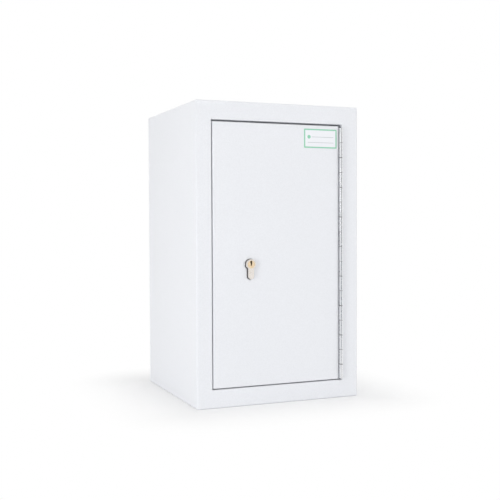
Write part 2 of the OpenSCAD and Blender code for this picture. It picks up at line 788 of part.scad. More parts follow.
module cylinder_body() {
    cam_side = cam_t / 2 + cam_gap;
    head_r = profile_head_d / 2;
    color(nickel) translate([lock_x, 0, lock_z]) difference() {
        along_y(cylinder_y0, cylinder_y1) euro_profile(0);
        along_y(cylinder_y0 - 1, cam_y) circle(r = plug_d / 2 + plug_clearance);
        along_y(cam_y, cylinder_y1 + 1) circle(r = neck_d / 2 + plug_clearance);
        block([-head_r - 1, cam_y - cam_side, -cam_r - cam_gap],
            [head_r + 1, cam_y + cam_side, head_r + 1]);
        translate([-head_r, cam_y, -fixing_screw_drop]) rotate([0, 90, 0])
            cylinder(d = fixing_screw_d + 2 * fastener_clearance, h = 2 * head_r);
    }
}

// A countersunk head at the origin and its shank along +Z, grown by a clearance.
module fixing_screw_body(clearance, len) {
    shank_d = fixing_screw_d + 2 * clearance;
    head_d = fixing_screw_d * 1.8 + 2 * clearance;
    cylinder(d = shank_d, h = len);
    cylinder(d1 = head_d, d2 = shank_d, h = (head_d - shank_d) / 2);
}

module cylinder_fixing_screw() {
    len = lock_x + profile_stem_w / 2 - case_x0 - fastener_clearance;
    color(steel) translate([case_x0, cam_y, lock_z - fixing_screw_drop]) rotate([0, 90, 0])
        difference() {
            fixing_screw_body(0, len);
            cross_recess(fixing_screw_d, fixing_screw_d * 0.3);
        }
}

// The keyway: a wide head for the key's back, above a stem that steps aside past its ward.
module keyway_profile() {
    side = keyway_stem_w / 2;
    wide = keyway_w / 2;
    top = plug_d / 2 - keyway_rim;
    head = top - keyway_head_h;
    polygon([[-side, -keyway_low], [side, -keyway_low], [side, 0], [side + keyway_ward, 0],
        [side + keyway_ward, head], [wide, head], [wide, top], [-wide, top], [-wide, head],
        [keyway_ward - side, head], [keyway_ward - side, 0], [-side, 0]]);
}

module cylinder_plug() {
    shoulder_y = cam_y0 - cam_gap;
    ring_y = cylinder_y1 + ring_gap;
    neck_y = ring_y + ring_t + neck_end;
    color(brass) translate([lock_x, 0, lock_z]) difference() {
        union() {
            along_y(cylinder_y0, shoulder_y) circle(d = plug_d);
            along_y(shoulder_y - 1, neck_y) circle(d = neck_d);
        }
        along_y(ring_y, ring_y + ring_t) difference() {
            circle(d = neck_d + 2);
            circle(d = neck_d - 2 * ring_groove);
        }
        along_y(cylinder_y0 - 1, cylinder_y0 + keyway_depth) keyway_profile();
    }
}

// The cam's ring sits on the plug's neck; with the bolt drawn back its lever points up to the right.
module cylinder_cam() {
    color(steel) translate([lock_x, 0, lock_z]) along_y(cam_y0, cam_y1) difference() {
        union() {
            circle(d = profile_head_d - 2 * plug_clearance);
            rotate(-cam_sweep / 2) intersection() {
                circle(r = cam_r);
                translate([-cam_lever_w / 2, 0]) square([cam_lever_w, cam_r + 1]);
            }
        }
        circle(d = neck_d + 2 * fastener_clearance);
    }
}

// An open retaining ring in the neck's groove.
module cylinder_ring() {
    ring_y = cylinder_y1 + ring_gap;
    inner_r = neck_d / 2 - ring_groove + fastener_clearance;
    color(steel) translate([lock_x, 0, lock_z]) along_y(ring_y, ring_y + ring_t) difference() {
        circle(r = inner_r + ring_w);
        circle(r = inner_r);
        translate([-ring_mouth / 2, -inner_r - ring_w - 1])
            square([ring_mouth, inner_r + ring_w + 1]);
    }
}

carcass();
back_panel();
stop_strip_lock_side();
stop_strip_top();
stop_strip_bottom();
door_buffers();
shelf_rail(-1, rail_y_front);  // shelf_rail_front_left
shelf_rail(1, rail_y_front);  // shelf_rail_front_right
shelf_rail(-1, rail_y_rear);  // shelf_rail_rear_left
shelf_rail(1, rail_y_rear);  // shelf_rail_rear_right
shelf_clips(lower_slot);  // shelf_clips_lower
shelf_clips(upper_slot);  // shelf_clips_upper
shelf(lower_slot);  // shelf_lower
shelf(upper_slot);  // shelf_upper
hinge_leaf_frame();
hinge_rivets_frame();
hinge_leaf_door();
hinge_rivets_door();
hinge_pin();
door_pan();
door_stiffener();
lock_bracket();
lock_case();
lock_cover();
lock_case_screws();
bolt_spring();
lock_bolt();
cylinder_body();
cylinder_fixing_screw();
cylinder_plug();
cylinder_cam();
cylinder_ring();
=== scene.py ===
"""Lockable medicine cabinet: the camera, the light, the finishes and the dressed pieces.

Metres, in the frame's axes: the front towards -Y, +X to the viewer's right, +Z up.
"""

import json
import math

import bpy
import numpy as np
from mathutils import Matrix, Vector


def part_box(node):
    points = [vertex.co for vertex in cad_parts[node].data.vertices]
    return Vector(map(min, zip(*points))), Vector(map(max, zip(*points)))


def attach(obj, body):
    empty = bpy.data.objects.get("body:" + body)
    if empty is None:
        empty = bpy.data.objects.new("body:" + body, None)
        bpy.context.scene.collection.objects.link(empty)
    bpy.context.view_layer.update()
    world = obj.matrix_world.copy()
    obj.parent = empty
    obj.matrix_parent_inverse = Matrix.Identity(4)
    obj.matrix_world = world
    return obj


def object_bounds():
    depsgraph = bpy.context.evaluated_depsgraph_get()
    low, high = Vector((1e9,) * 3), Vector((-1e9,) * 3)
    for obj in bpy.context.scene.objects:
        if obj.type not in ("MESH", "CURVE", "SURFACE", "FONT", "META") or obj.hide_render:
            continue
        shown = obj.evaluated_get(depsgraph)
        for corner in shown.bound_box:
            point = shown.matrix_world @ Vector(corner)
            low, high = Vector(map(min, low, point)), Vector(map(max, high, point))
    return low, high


MM = 0.001

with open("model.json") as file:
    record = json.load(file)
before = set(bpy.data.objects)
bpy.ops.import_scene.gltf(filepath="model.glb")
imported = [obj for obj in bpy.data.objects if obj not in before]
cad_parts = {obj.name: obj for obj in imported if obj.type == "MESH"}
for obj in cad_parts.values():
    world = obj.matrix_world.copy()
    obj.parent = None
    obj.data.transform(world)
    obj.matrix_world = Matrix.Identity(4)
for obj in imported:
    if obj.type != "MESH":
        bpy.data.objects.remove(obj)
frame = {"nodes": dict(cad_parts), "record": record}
cad_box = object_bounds()


# ---------------------------------------------------------------- camera and stage

CAMERA_PLACE = (-0.59905, -1.45379, 0.30687)
CAMERA_YAW = 22.4886  # degrees, towards +X
CAMERA_PITCH = -1.9823
CAMERA_ROLL = -0.2222
CAMERA_LENS = 62.4096
CAMERA_SENSOR = 36.0
CAMERA_NEAR = 0.05
BACKDROP_WHITE = (1.0, 1.0, 1.0, 1.0)
AMBIENT_LEVEL = 0.66
UNLIT_END = (-0.38, -0.92, 0.0)  # towards the end of the room that reflects dark
UNLIT_SIDE = (0.92, -0.38, 0.0)
UNLIT_SPREAD = (0.32, 0.66)  # part aside over part ahead, from fully unlit to lit
UNLIT_LEVEL = 0.38
UNLIT_FLOOR = (0.13, 0.18, 0.24, 1.0)  # the floor at that end, in reflections
UNLIT_FLOOR_REACH = (0.22, 0.62)  # from where to where, beside the cabinet, that floor darkens
FLOOR_WHITE = (0.97, 0.97, 0.97, 1.0)
FLOOR_HALF = 12.0
SHADOW_FADE = (-0.05, 0.16)  # from where to where, beside the cabinet, its shadow fades out
CABINET_MIDDLE = (0.0, 0.0, 0.25)

# Each lamp's name, place, side in metres, watts, and whether glossy surfaces mirror it.
LAMPS = (
    ("left_near", (-1.30, -0.80, 0.10), 0.35, 6.2, False),
    ("left_far", (-2.30, -1.05, 0.55), 0.5, 2.0, True),
    ("front", (0.45, -1.60, 1.30), 1.2, 1.4, True),
    ("fill", (1.45, -1.75, 0.30), 0.6, 6.1, False),
    ("top", (-0.20, -0.40, 2.20), 1.8, 8.0, True),
    ("behind", (1.60, 1.80, 0.80), 1.0, 7.0, False),
)


def make_camera():
    """A camera that looks along its yaw and pitch, rolled about that line."""
    yaw, pitch, roll = (math.radians(a) for a in (CAMERA_YAW, CAMERA_PITCH, CAMERA_ROLL))
    ahead = Vector(
        (math.sin(yaw) * math.cos(pitch), math.cos(yaw) * math.cos(pitch), math.sin(pitch))
    )
    level_right = Vector((math.cos(yaw), -math.sin(yaw), 0.0))
    level_up = level_right.cross(ahead)
    right = level_right * math.cos(roll) + level_up * math.sin(roll)
    up = level_up * math.cos(roll) - level_right * math.sin(roll)
    lens = bpy.data.cameras.new("camera")
    lens.sensor_width = CAMERA_SENSOR
    lens.lens = CAMERA_LENS
    lens.clip_start = CAMERA_NEAR
    camera = bpy.data.objects.new("camera", lens)
    camera.matrix_world = Matrix.Translation(CAMERA_PLACE) @ (
        Matrix((right, up, -ahead)).transposed().to_4x4()
    )
    bpy.context.collection.objects.link(camera)
    bpy.context.scene.camera = camera


def soft_lamp(name, place, size, power, mirrored):
    """A square white area lamp, aimed at the cabinet's middle; gloss shows it if it is mirrored."""
    lamp = bpy.data.lights.new(name, "AREA")
    lamp.shape = "SQUARE"
    lamp.size = size
    lamp.energy = power
    lamp_object = bpy.data.objects.new(name, lamp)
    lamp_object.location = place
    lamp_object.rotation_euler = (
        (Vector(CABINET_MIDDLE) - Vector(place)).to_track_quat("-Z", "Y").to_euler()
    )
    lamp_object.visible_glossy = mirrored
    bpy.context.collection.objects.link(lamp_object)


def off_unlit(tree, heading):
    """How far a heading lies off the unlit end: its part aside over its part ahead."""
    ahead, aside = [add(tree, "ShaderNodeVectorMath", [heading, way],
        operation="DOT_PRODUCT").outputs["Value"] for way in (UNLIT_END, UNLIT_SIDE)]
    return math_node(tree, "DIVIDE", math_node(tree, "ABSOLUTE", aside),
        math_node(tree, "MAXIMUM", ahead, 0.001))


def make_world():
    """Plain white to the camera, a white room with one unlit end in reflections, else ambient."""
    world = bpy.data.worlds.new("studio")
    world.use_nodes = True
    tree = world.node_tree
    tree.nodes.clear()
    path = tree.nodes.new("ShaderNodeLightPath")
    heading = tree.nodes.new("ShaderNodeTexCoord").outputs["Generated"]
    room_level = ramp(tree, off_unlit(tree, heading), *UNLIT_SPREAD, UNLIT_LEVEL, 1.0)
    ambient, room, backdrop = [
        add(tree, "ShaderNodeBackground", {"Color": BACKDROP_WHITE, "Strength": level})
        for level in (AMBIENT_LEVEL, room_level, 1.0)]
    lit = add(tree, "ShaderNodeMixShader",
        [path.outputs["Is Glossy Ray"], ambient.outputs[0], room.outputs[0]])
    seen = math_node(tree, "MAXIMUM", path.outputs["Is Camera Ray"],
        path.outputs["Is Transmission Ray"])
    mix = add(tree, "ShaderNodeMixShader", [seen, lit.outputs[0], backdrop.outputs[0]])
    add(tree, "ShaderNodeOutputWorld", {"Surface": mix.outputs[0]})
    bpy.context.scene.world = world


def make_floor():
    """A wide plain floor: the cabinet's shadow lies beside it, and fades to plain white.

    How far a point lies beside the cabinet is the length of what is left of its place after the
    footprint is taken off, never less than nothing. In reflections its far end is unlit, too.
    """
    half = FLOOR_HALF
    mesh = bpy.data.meshes.new("floor")
    mesh.from_pydata([(-half, -half, 0), (half, -half, 0), (half, half, 0), (-half, half, 0)],
        [], [(0, 1, 2, 3)])
    floor = bpy.data.objects.new("floor", mesh)
    bpy.context.collection.objects.link(floor)
    material, tree, shader = new_finish("floor_white", Base_Color=FLOOR_WHITE, Roughness=1.0,
        Specular_IOR_Level=0.0)
    place = tree.nodes.new("ShaderNodeTexCoord").outputs["Object"]
    low, high = cad_box
    footprint = tuple(max(abs(a), abs(b)) for a, b in zip(low[:2], high[:2])) + (1.0,)
    beside = place
    for operation, value in (("ABSOLUTE", None), ("SUBTRACT", footprint),
            ("MAXIMUM", (0.0, 0.0, 0.0))):
        beside = add(tree, "ShaderNodeVectorMath", [beside, value], operation=operation).outputs[0]
    reach = add(tree, "ShaderNodeVectorMath", [beside], operation="LENGTH").outputs["Value"]
    path = tree.nodes.new("ShaderNodeLightPath")
    seen = math_node(tree, "MAXIMUM", path.outputs["Is Camera Ray"], path.outputs["Is Glossy Ray"])
    far = math_node(tree, "MULTIPLY", ramp(tree, reach, *SHADOW_FADE), seen)
    heading = add(tree, "ShaderNodeVectorMath", [place, (*HINGE_LOW[:2], 0.0)],
        operation="SUBTRACT").outputs[0]
    unlit = math_node(tree, "MULTIPLY",
        ramp(tree, off_unlit(tree, heading), *UNLIT_SPREAD, 1.0, 0.0),
        ramp(tree, reach, *UNLIT_FLOOR_REACH))
    unlit = math_node(tree, "MULTIPLY", unlit, path.outputs["Is Glossy Ray"])
    tone = mix_colour(tree, unlit, BACKDROP_WHITE, UNLIT_FLOOR)
    white = add(tree, "ShaderNodeEmission", {"Color": tone, "Strength": 1.0})
    mix = add(tree, "ShaderNodeMixShader", [far, shader.outputs[0], white.outputs[0]])
    tree.links.new(mix.outputs[0], tree.nodes["Material Output"].inputs["Surface"])
    mesh.materials.append(material)


# ---------------------------------------------------------------- building node trees


def add(tree, kind, inputs=None, **settings):
    """One node with its settings; each input is a value or the socket that feeds it."""
    node = tree.nodes.new(kind)
    for name, value in settings.items():
        setattr(node, name, value)
    entries = inputs.items() if isinstance(inputs, dict) else enumerate(inputs or [])
    for key, value in entries:
        if isinstance(value, bpy.types.NodeSocket):
            tree.links.new(value, node.inputs[key])
        elif value is not None:
            node.inputs[key].default_value = value
    return node


def math_node(tree, operation, *values, clamp=False):
    """One Math node over its values, held within 0 and 1 if it is clamped."""
    node = add(tree, "ShaderNodeMath", list(values), operation=operation, use_clamp=clamp)
    return node.outputs[0]


def ramp(tree, value, low, high, out_low=0.0, out_high=1.0):
    """Carries low..high smoothly onto out_low..out_high."""
    return add(tree, "ShaderNodeMapRange", {"Value": value, "From Min": low, "From Max": high,
        "To Min": out_low, "To Max": out_high}, interpolation_type="SMOOTHSTEP").outputs[0]


def mix_colour(tree, amount, first, second):
    """The first colour at amount 0 and the second at amount 1."""
    node = add(tree, "ShaderNodeMix", data_type="RGBA")
    for socket, value in zip((node.inputs[0], node.inputs[6], node.inputs[7]),
            (amount, first, second)):
        if isinstance(value, bpy.types.NodeSocket):
            tree.links.new(value, socket)
        else:
            socket.default_value = value
    return node.outputs[2]


def noise(tree, vector, scale, detail=2.0, rough=0.5):
    """Noise about 0.5, with so many features in a metre of the vector."""
    return add(tree, "ShaderNodeTexNoise", {"Vector": vector, "Scale": scale, "Detail": detail,
        "Roughness": rough}).outputs[0]


def stretched(tree, vector, scale):
    """The vector with each axis multiplied by its own scale."""
    return add(tree, "ShaderNodeMapping", {"Vector": vector, "Scale": scale}).outputs[0]


def new_group(name, inputs, outputs):
    """A group with named inputs, floats or vectors, the given outputs, and its two end nodes."""
    group = bpy.data.node_groups.new(name, "ShaderNodeTree")
    for label, value in inputs.items():
        kind = "NodeSocketVector" if isinstance(value, tuple) else "NodeSocketFloat"
        socket = group.interface.new_socket(label, in_out="INPUT", socket_type=kind)
        socket.default_value = value
    for label, kind in outputs.items():
        group.interface.new_socket(label, in_out="OUTPUT", socket_type=kind)
    return group, group.nodes.new("NodeGroupInput"), group.nodes.new("NodeGroupOutput")


def use_group(tree, group, **inputs):
    """A group in a tree; keyword names stand for its inputs, with underscores for spaces."""
    node = tree.nodes.new("ShaderNodeGroup")
    node.node_tree = group
    for key, value in inputs.items():
        socket = node.inputs[key.replace("_", " ")]
        if isinstance(value, bpy.types.NodeSocket):
            tree.links.new(value, socket)
        else:
            socket.default_value = value
    return node.outputs


# ---------------------------------------------------------------- shared effects


def make_edge_group():
    """Softened edges, and how far each point lies inside such an edge."""
    group, given, result = new_group("soft_edges", {"Radius": 0.0004, "Sharpness": 6.0},
        {"Normal": "NodeSocketVector", "Edge": "NodeSocketFloat"})
    bevel = add(group, "ShaderNodeBevel", {"Radius": given.outputs["Radius"]}, samples=6).outputs[0]
    flat = group.nodes.new("ShaderNodeNewGeometry").outputs["Normal"]
    agree = add(group, "ShaderNodeVectorMath", [bevel, flat],
        operation="DOT_PRODUCT").outputs["Value"]
    away = math_node(group, "SUBTRACT", 1.0, agree)
    edge = math_node(group, "MULTIPLY", away, given.outputs["Sharpness"], clamp=True)
    group.links.new(bevel, result.inputs["Normal"])
    group.links.new(edge, result.inputs["Edge"])
    return group


def make_orange_peel_group():
    """The fine pebbled skin of powder coat, with a slower ripple under it and slight clouding."""
    group, given, result = new_group("orange_peel",
        {"Pebble": 520.0, "Ripple": 46.0, "Depth": 0.12, "Clouding": 0.5, "Speckle": 0.0},
        {"Height": "NodeSocketFloat", "Tone": "NodeSocketFloat", "Gloss": "NodeSocketFloat"})
    place = group.nodes.new("ShaderNodeTexCoord").outputs["Object"]
    pebble = noise(group, place, given.outputs["Pebble"], detail=1.5, rough=0.4)
    ripple = noise(group, place, given.outputs["Ripple"], detail=1.0)
    height = math_node(group, "ADD", pebble, math_node(group, "MULTIPLY", ripple, 0.8))
    cloud = noise(group, place, 7.0, detail=3.0, rough=0.55)
    spread = math_node(group, "SUBTRACT", cloud, 0.5)
    group.links.new(math_node(group, "MULTIPLY", height, given.outputs["Depth"]),
        result.inputs["Height"])
    clouds = math_node(group, "MULTIPLY", spread, given.outputs["Clouding"])
    specks = math_node(group, "MULTIPLY", math_node(group, "SUBTRACT", pebble, 0.5),
        given.outputs["Speckle"])
    group.links.new(math_node(group, "ADD", clouds, specks), result.inputs["Tone"])
    smear = noise(group, stretched(group, place, (30.0, 30.0, 9.0)), 1.0, detail=3.0, rough=0.6)
    group.links.new(math_node(group, "SUBTRACT", smear, 0.5), result.inputs["Gloss"])
    return group


def make_grain_group():
    """Parallel brushing: noise drawn out along one axis, at two widths."""
    group, given, result = new_group("brushed_grain", {"Stretch": (1.0, 1.0, 1.0), "Depth": 1.0},
        {"Height": "NodeSocketFloat", "Gloss": "NodeSocketFloat"})
    place = group.nodes.new("ShaderNodeTexCoord").outputs["Object"]
    along = add(group, "ShaderNodeVectorMath", [place, given.outputs["Stretch"]],
        operation="MULTIPLY").outputs[0]
    fine = noise(group, along, 1.0, detail=4.0, rough=0.7)
    broad = noise(group, along, 0.23)
    height = math_node(group, "ADD", fine, broad)
    group.links.new(math_node(group, "MULTIPLY", height, given.outputs["Depth"]),
        result.inputs["Height"])
    group.links.new(math_node(group, "SUBTRACT", broad, 0.5), result.inputs["Gloss"])
    return group


def make_scratch_group():
    """Hair scratches, three ways: level lines of a noise drawn out one way, so almost straight."""
    group, given, result = new_group("hair_scratches", {"Spacing": 60.0, "Width": 0.012},
        {"Mask": "NodeSocketFloat"})
    place = group.nodes.new("ShaderNodeTexCoord").outputs["Object"]
    lines = []
    for turn in (0.35, 1.15, 2.5):
        turned = add(group, "ShaderNodeMapping", {"Vector": place,
            "Rotation": (turn / 3, turn, turn / 2), "Scale": (1.0, 0.05, 0.05)}).outputs[0]
        level = noise(group, turned, given.outputs["Spacing"], detail=0.0)
        off = math_node(group, "ABSOLUTE", math_node(group, "SUBTRACT", level, 0.5))
        thin = math_node(group, "LESS_THAN", off, given.outputs["Width"])
        piece = noise(group, place, 45.0 + 20.0 * turn)
        patch = ramp(group, piece, 0.54, 0.60)
        lines.append(math_node(group, "MULTIPLY", thin, patch))
    total = math_node(group, "MAXIMUM", math_node(group, "MAXIMUM", *lines[:2]), lines[2])
    group.links.new(total, result.inputs["Mask"])
    return group


def make_dust_group():
    """Fine dust that settles on what faces up, broken into soft patches."""
    group, given, result = new_group("settled_dust", {"Amount": 0.3}, {"Mask": "NodeSocketFloat"})
    place = group.nodes.new("ShaderNodeTexCoord").outputs["Object"]
    facing = group.nodes.new("ShaderNodeNewGeometry").outputs["Normal"]
    upward = add(group, "ShaderNodeSeparateXYZ", [facing]).outputs["Z"]
    lying = ramp(group, upward, 0.55, 0.98)
    patches = ramp(group, noise(group, place, 24.0, detail=4.0, rough=0.65), 0.38, 0.72)
    specks = ramp(group, noise(group, place, 900.0, detail=1.0), 0.60, 0.70)
    cover = math_node(group, "ADD", math_node(group, "MULTIPLY", patches, 0.6),
        math_node(group, "MULTIPLY", specks, 0.4))
    cover = math_node(group, "MULTIPLY", cover, lying)
    group.links.new(math_node(group, "MULTIPLY", cover, given.outputs["Amount"], clamp=True),
        result.inputs["Mask"])
    return group


# ---------------------------------------------------------------- finishes

PLUG_LOW, PLUG_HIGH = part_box("cylinder_plug")
LOCK_AXIS_X = (PLUG_LOW[0] + PLUG_HIGH[0]) / 2
LOCK_AXIS_Z = (PLUG_LOW[2] + PLUG_HIGH[2]) / 2
HINGE_LOW, HINGE_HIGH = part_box("hinge_pin")
HINGE_MIDDLE = (HINGE_LOW[2] + HINGE_HIGH[2]) / 2
HINGE_HALF = (HINGE_HIGH[2] - HINGE_LOW[2]) / 2
HINGE_END = 5.0 * MM  # the length at each end of the hinge that is free of the oil and painted joint shade

BODY_WHITE = (0.835, 0.849, 0.883, 1.0)
SHELF_WHITE = (0.815, 0.829, 0.862, 1.0)
DUST_GREY = (0.52, 0.50, 0.46, 1.0)
# near black: oil, and painted shade in the joints between the hinge's knuckles
OIL_AND_JOINT_SHADE = (0.045, 0.042, 0.040, 1.0)
BRASS, BRASS_TARNISH, BRASS_HAIR = (
    (0.87, 0.70, 0.49, 1.0), (0.70, 0.50, 0.25, 1.0), (0.97, 0.86, 0.62, 1.0))
RUBBER, RUBBER_BLOOM = (0.018, 0.018, 0.019, 1.0), (0.075, 0.073, 0.070, 1.0)
HINGE_ZINC, HINGE_STAIN = (0.83, 0.835, 0.85, 1.0), (0.72, 0.725, 0.74, 1.0)
# the pin is near black: oiled steel, and painted shade for the joint gaps where it shows
PIN_STEEL, PIN_STAIN = (0.16, 0.155, 0.15, 1.0), (0.08, 0.075, 0.07, 1.0)
ZINC, ZINC_STAIN = (0.67, 0.685, 0.70, 1.0), (0.52, 0.535, 0.55, 1.0)
STEEL, STEEL_STAIN = (0.60, 0.59, 0.58, 1.0), (0.42, 0.40, 0.37, 1.0)
NICKEL, NICKEL_STAIN = (0.84, 0.79, 0.74, 1.0), (0.66, 0.60, 0.54, 1.0)


def new_finish(name, **fixed):
    """A material, its tree and its shader, with the values that are the same all over."""
    material = bpy.data.materials.new(name)
    material.use_nodes = True
    tree = material.node_tree
    shader = tree.nodes["Principled BSDF"]
    for label, value in fixed.items():
        shader.inputs[label.replace("_", " ")].default_value = value
    return material, tree, shader


def feed(tree, shader, **sockets):
    """Joins each socket to the shader's input of that name, with underscores for spaces."""
    for label, socket in sockets.items():
        tree.links.new(socket, shader.inputs[label.replace("_", " ")])


def bump(tree, height, distance, normal, strength=1.0):
    """The normal tilted by a height from 0 to 1 that stands for so many metres."""
    return add(tree, "ShaderNodeBump", {"Height": height, "Distance": distance, "Normal": normal,
        "Strength": strength}).outputs[0]


def powder_coat(name, colour, effects, dust=0.12, rough=0.36):
    """Satin powder coat on sheet steel: pebbled skin, faint clouding, a painted highlight on its
    edges, dust on top.
    """
    material, tree, shader = new_finish(name, Metallic=0.0, IOR=1.48)
    edges = use_group(tree, effects["edges"], Radius=0.6 * MM, Sharpness=5.0)
    peel = use_group(tree, effects["peel"], Depth=0.45, Clouding=0.10, Speckle=0.5)
    settled = use_group(tree, effects["dust"], Amount=dust)
    darker = tuple(c * 0.90 for c in colour[:3]) + (1.0,)
    lighter = tuple(min(c * 1.06, 1.0) for c in colour[:3]) + (1.0,)
    toned = mix_colour(tree, math_node(tree, "ADD", peel["Tone"], 0.5), darker, lighter)
    # painted highlight: the coat is made paler along its edges, standing in for light caught there
    painted_edge_highlight = math_node(tree, "MULTIPLY", edges["Edge"], 0.5, clamp=True)
    toned = mix_colour(tree, painted_edge_highlight, toned, lighter)
    toned = mix_colour(tree, settled["Mask"], toned, DUST_GREY)
    gloss = math_node(tree, "ADD", math_node(tree, "MULTIPLY", peel["Gloss"], 0.10), rough)
    gloss = math_node(tree, "ADD", gloss, math_node(tree, "MULTIPLY", settled["Mask"], 0.4),
        clamp=True)
    feed(tree, shader, Base_Color=toned, Roughness=gloss,
        Normal=bump(tree, peel["Height"], 0.08 * MM, edges["Normal"]))
    return material


def knuckle_oil_and_shade(tree):
    """Near-black oil and painted joint shade on the knuckles' end faces, which look up or down, but
    not at the hinge's ends.
    """
    facing = add(tree, "ShaderNodeSeparateXYZ",
        [tree.nodes.new("ShaderNodeNewGeometry").outputs["True Normal"]]).outputs["Z"]
    height = add(tree, "ShaderNodeSeparateXYZ",
        [tree.nodes.new("ShaderNodeTexCoord").outputs["Object"]]).outputs["Z"]
    ends = ramp(tree, math_node(tree, "ABSOLUTE", facing), 0.3, 0.8)
    off_middle = math_node(tree, "ABSOLUTE", math_node(tree, "SUBTRACT", height, HINGE_MIDDLE))
    within = math_node(tree, "LESS_THAN", off_middle, HINGE_HALF - HINGE_END)
    return math_node(tree, "MULTIPLY", ends, within)


def plated_metal(name, colour, stain, effects, stretch, rough, depth, stains, wear=0.5,
        scratches=0.35, oiled_joint_shade=None):
    """Plated metal: brushed or rolled grain, soft stains, hair scratches, brighter worn edges."""
    material, tree, shader = new_finish(name, Metallic=1.0)
    edges = use_group(tree, effects["edges"], Radius=0.3 * MM, Sharpness=5.0)
    grain = use_group(tree, effects["grain"], Stretch=stretch, Depth=depth)
    hairs = use_group(tree, effects["scratches"], Spacing=70.0, Width=0.010)
    place = tree.nodes.new("ShaderNodeTexCoord").outputs["Object"]
    spots = ramp(tree, noise(tree, place, 150.0, detail=4.0, rough=0.65), 0.42, 0.75)
    toned = mix_colour(tree, math_node(tree, "MULTIPLY", spots, stains), colour, stain)
    bright = tuple(min(c * 1.12, 1.0) for c in colour[:3]) + (1.0,)
    worn = math_node(tree, "MULTIPLY", edges["Edge"], wear, clamp=True)
    toned = mix_colour(tree, worn, toned, bright)
    marks = math_node(tree, "MULTIPLY", hairs["Mask"], scratches)
    toned = mix_colour(tree, marks, toned, bright)
    gloss = math_node(tree, "ADD", math_node(tree, "MULTIPLY", grain["Gloss"], 0.22), rough)
    gloss = math_node(tree, "ADD", gloss, math_node(tree, "MULTIPLY", spots, 0.10), clamp=True)
    # painted shade with oil: the knuckles' end faces, inside the joints, go near black
    if oiled_joint_shade is not None:
        oiled_and_shaded = oiled_joint_shade(tree)
        toned = mix_colour(tree, oiled_and_shaded, toned, OIL_AND_JOINT_SHADE)
        gloss = math_node(tree, "ADD", gloss, math_node(tree, "MULTIPLY", oiled_and_shaded, 0.35), clamp=True)
    feed(tree, shader, Base_Color=toned, Roughness=gloss,
        Normal=bump(tree, grain["Height"], 0.03 * MM, edges["Normal"]))
    return material


def turned_brass(name, effects):
    """Brass faced on a lathe: fine rings round the plug's axis, soft tarnish, hair scratches."""
    material, tree, shader = new_finish(name, Metallic=1.0)
    edges = use_group(tree, effects["edges"], Radius=0.3 * MM, Sharpness=5.0)
    hairs = use_group(tree, effects["scratches"], Spacing=160.0, Width=0.016)
    place = tree.nodes.new("ShaderNodeTexCoord").outputs["Object"]
    centred = add(tree, "ShaderNodeMapping", {"Vector": place,
        "Location": (-LOCK_AXIS_X, 0.0, -LOCK_AXIS_Z), "Scale": (1.0, 0.0, 1.0)}).outputs[0]
    radius = add(tree, "ShaderNodeVectorMath", [centred], operation="LENGTH").outputs["Value"]
    ring_place = add(tree, "ShaderNodeCombineXYZ", [radius]).outputs[0]
    rings = noise(tree, ring_place, 3800.0, rough=0.6)
    tarnish = ramp(tree, noise(tree, place, 420.0, detail=3.0, rough=0.6), 0.45, 0.72)
    toned = mix_colour(tree, math_node(tree, "MULTIPLY", tarnish, 0.35), BRASS, BRASS_TARNISH)
    toned = mix_colour(tree, math_node(tree, "MULTIPLY", hairs["Mask"], 0.5), toned, BRASS_HAIR)
    gloss = math_node(tree, "ADD", math_node(tree, "MULTIPLY", tarnish, 0.14), 0.20)
    feed(tree, shader, Base_Color=toned, Roughness=gloss,
        Normal=bump(tree, rings, 0.04 * MM, edges["Normal"], strength=0.6))
    return material


def moulded_rubber(name, effects):
    """Matt black rubber with a fine open grain and a dusty bloom on its edges."""
    material, tree, shader = new_finish(name, Metallic=0.0, IOR=1.52)
    edges = use_group(tree, effects["edges"], Radius=0.4 * MM, Sharpness=4.0)
    peel = use_group(tree, effects["peel"], Pebble=1500.0, Ripple=200.0, Depth=0.4, Clouding=0.3)
    bloom = math_node(tree, "ADD", peel["Tone"], math_node(tree, "MULTIPLY", edges["Edge"], 0.4),
        clamp=True)
    toned = mix_colour(tree, bloom, RUBBER, RUBBER_BLOOM)
    gloss = math_node(tree, "ADD", math_node(tree, "MULTIPLY", peel["Gloss"], 0.2), 0.75)
    feed(tree, shader, Base_Color=toned, Roughness=gloss,
        Normal=bump(tree, peel["Height"], 0.05 * MM, edges["Normal"]))
    return material


def make_effects():
    """The node groups that the finishes share."""
    return {"edges": make_edge_group(), "peel": make_orange_peel_group(),
        "grain": make_grain_group(), "scratches": make_scratch_group(), "dust": make_dust_group()}


